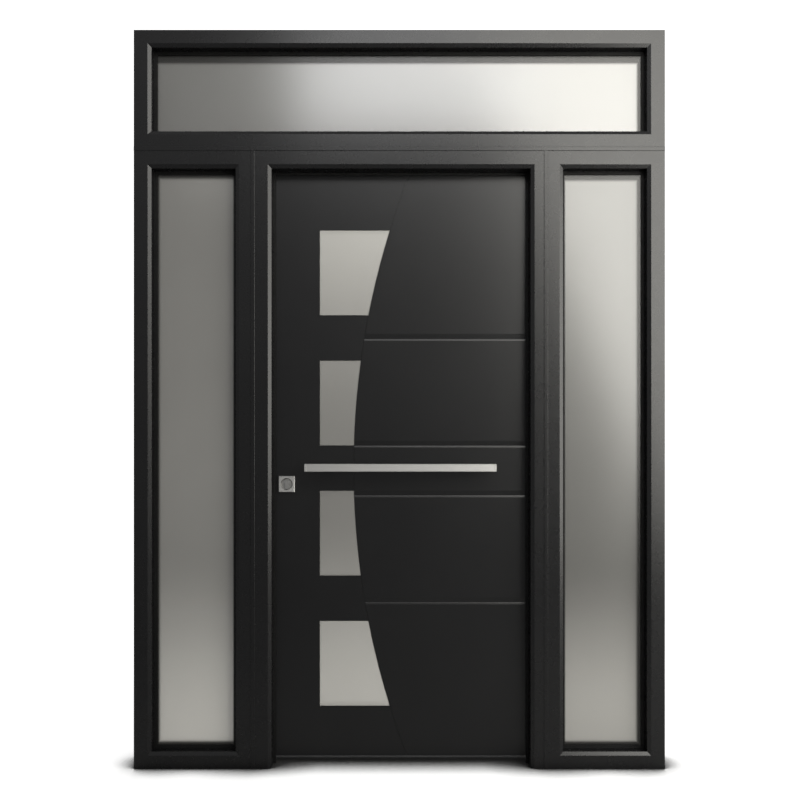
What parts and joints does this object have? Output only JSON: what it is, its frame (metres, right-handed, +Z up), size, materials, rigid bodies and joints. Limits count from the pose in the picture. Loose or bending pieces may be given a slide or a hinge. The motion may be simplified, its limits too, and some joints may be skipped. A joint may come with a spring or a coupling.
{
  "type": "entrance door with sidelights and transom light",
  "caption": "Dark aluminium entrance door set: inward-opening leaf with arc-edged satin glass panes and a level pull bar, between glazed sidelights under a glazed transom.",
  "frame": {"origin": "on the flat foot of the jamb that carries the hinges, at floor level, midway in the frame's depth", "axes": "+X to the right seen from outside, +Y inwards through the doorway, +Z up"},
  "size_m": [1.8, 0.188, 2.505],
  "materials": {
    "frame_paint": "satin powder coat, dark anthracite",
    "leaf_paint": "satin powder coat, dark anthracite",
    "satin_glass": "acid-etched satin glass",
    "seal_rubber": "matt black",
    "satin_steel": "fine brushed"
  },
  "bodies": {
    "frame": {"door_head": "frame_paint", "door_seal": "seal_rubber", "hinge_jamb": "frame_paint", "hinge_jamb_halves": "frame_paint", "hinge_pins": "satin_steel", "left_coupling_strip": "frame_paint", "left_sidelight_beads": "frame_paint", "left_sidelight_bottom_rail": "frame_paint", "left_sidelight_gasket": "seal_rubber", "left_sidelight_glass": "satin_glass", "left_sidelight_inner_stile": "frame_paint", "left_sidelight_outer_stile": "frame_paint", "left_sidelight_top_rail": "frame_paint", "lock_jamb": "frame_paint", "right_coupling_strip": "frame_paint", "right_sidelight_beads": "frame_paint", "right_sidelight_bottom_rail": "frame_paint", "right_sidelight_gasket": "seal_rubber", "right_sidelight_glass": "satin_glass", "right_sidelight_inner_stile": "frame_paint", "right_sidelight_outer_stile": "frame_paint", "right_sidelight_top_rail": "frame_paint", "strike_plate": "satin_steel", "transom_beads": "frame_paint", "transom_bottom_rail": "frame_paint", "transom_coupling_strip": "frame_paint", "transom_gasket": "seal_rubber", "transom_glass": "satin_glass", "transom_left_stile": "frame_paint", "transom_right_stile": "frame_paint", "transom_top_rail": "frame_paint"},
    "leaf": {"leaf_outer_skin": "leaf_paint", "leaf_core": "leaf_paint", "leaf_inner_skin": "leaf_paint", "top_pane": "satin_glass", "upper_pane": "satin_glass", "lower_pane": "satin_glass", "bottom_pane": "satin_glass", "pane_retainers": "leaf_paint", "pull_bar": "satin_steel", "pull_bar_caps": "satin_steel", "pull_bar_posts": "satin_steel", "outer_lock_plate": "satin_steel", "outer_cylinder": "satin_steel", "inner_lock_plate": "satin_steel", "inner_cylinder": "satin_steel", "inner_lever_rose": "satin_steel", "inner_lever": "satin_steel", "lock_faceplate": "satin_steel", "lock_bolts": "satin_steel", "hinge_leaf_halves": "frame_paint"}
  },
  "joints": [
    {"name": "door_swing", "type": "hinge", "parent": "frame", "child": "leaf", "pos_m": [-0.016, 0.068, 1.04], "axis": [0, 0, -1], "range_deg": [0, 100]}
  ]
}
